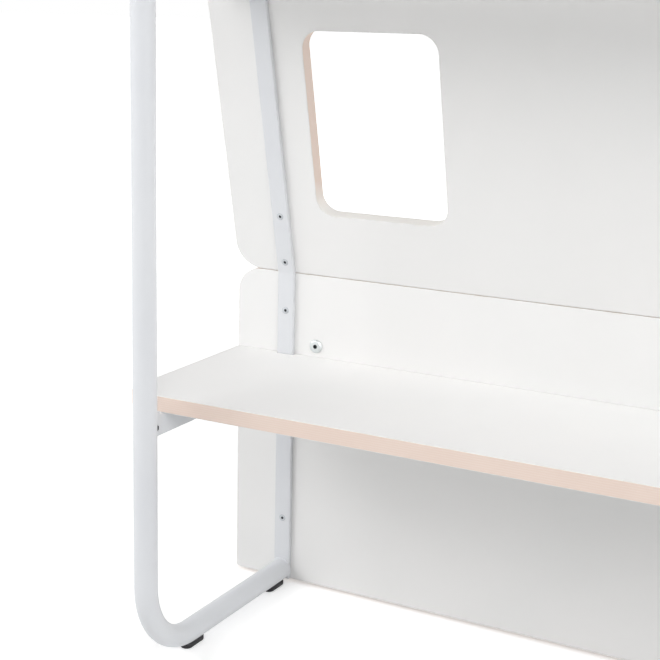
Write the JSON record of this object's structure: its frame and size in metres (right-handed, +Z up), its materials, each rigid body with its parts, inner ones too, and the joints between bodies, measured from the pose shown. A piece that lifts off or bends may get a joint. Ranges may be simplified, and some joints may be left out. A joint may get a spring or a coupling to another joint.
{
  "type": "storage bed head unit",
  "caption": "Head end of a storage bed: bent-tube side frames with flat straps carry an upright board, a forward-leaning board with windows, and open decks on flat bearers.",
  "frame": {"origin": "centre of the bounding box in plan, at floor level under the glides", "axes": "+X along the unit from the left side frame to the right, +Y from the open deck side to the lying side behind the boards, +Z up"},
  "size_m": [1.6, 0.3948, 1.3027],
  "materials": {
    "steel_paint": "satin powder coat, cool white",
    "faced_plywood": "white facing on birch plywood, bare oiled edges",
    "zinc_steel": "bright zinc plate",
    "black_plastic": "matte black"
  },
  "bodies": {
    "root": {"side_tube_left": "steel_paint", "side_tube_right": "steel_paint", "back_strap_left": "steel_paint", "back_strap_right": "steel_paint", "bearer_lug_left_lower": "steel_paint", "bearer_lug_left_upper": "steel_paint", "bearer_lug_right_lower": "steel_paint", "bearer_lug_right_upper": "steel_paint", "bearer_left_lower": "steel_paint", "bearer_left_upper": "steel_paint", "bearer_right_lower": "steel_paint", "bearer_right_upper": "steel_paint", "rear_rail": "steel_paint", "lower_back_board": "faced_plywood", "upper_back_board": "faced_plywood", "lower_deck": "faced_plywood", "upper_deck": "faced_plywood", "glide_left_front": "black_plastic", "glide_left_rear": "black_plastic", "glide_right_front": "black_plastic", "glide_right_rear": "black_plastic", "bearer_bolt_left_lower": "zinc_steel", "bearer_bolt_left_upper": "zinc_steel", "bearer_bolt_right_lower": "zinc_steel", "bearer_bolt_right_upper": "zinc_steel", "bearer_nut_left_lower": "zinc_steel", "bearer_nut_left_upper": "zinc_steel", "bearer_nut_right_lower": "zinc_steel", "bearer_nut_right_upper": "zinc_steel", "connector_bolt_left": "zinc_steel", "connector_bolt_middle": "zinc_steel", "connector_bolt_right": "zinc_steel", "connector_nut_left": "zinc_steel", "connector_nut_middle": "zinc_steel", "connector_nut_right": "zinc_steel", "strap_screw_left_foot": "zinc_steel", "strap_screw_left_below_joint": "zinc_steel", "strap_screw_left_above_joint": "zinc_steel", "strap_screw_left_window": "zinc_steel", "strap_screw_left_shelf": "zinc_steel", "strap_screw_left_top": "zinc_steel", "strap_screw_right_foot": "zinc_steel", "strap_screw_right_below_joint": "zinc_steel", "strap_screw_right_above_joint": "zinc_steel", "strap_screw_right_window": "zinc_steel", "strap_screw_right_shelf": "zinc_steel", "strap_screw_right_top": "zinc_steel", "bearer_foot_screw_left_lower": "zinc_steel", "bearer_foot_screw_left_upper": "zinc_steel", "bearer_foot_screw_right_lower": "zinc_steel", "bearer_foot_screw_right_upper": "zinc_steel", "deck_screw_lower_1": "zinc_steel", "deck_screw_lower_2": "zinc_steel", "deck_screw_upper_1": "zinc_steel", "deck_screw_upper_2": "zinc_steel", "tab_screw_left_lower": "zinc_steel", "tab_screw_left_upper": "zinc_steel", "tab_screw_right_lower": "zinc_steel", "tab_screw_right_upper": "zinc_steel"}
  },
  "joints": []
}
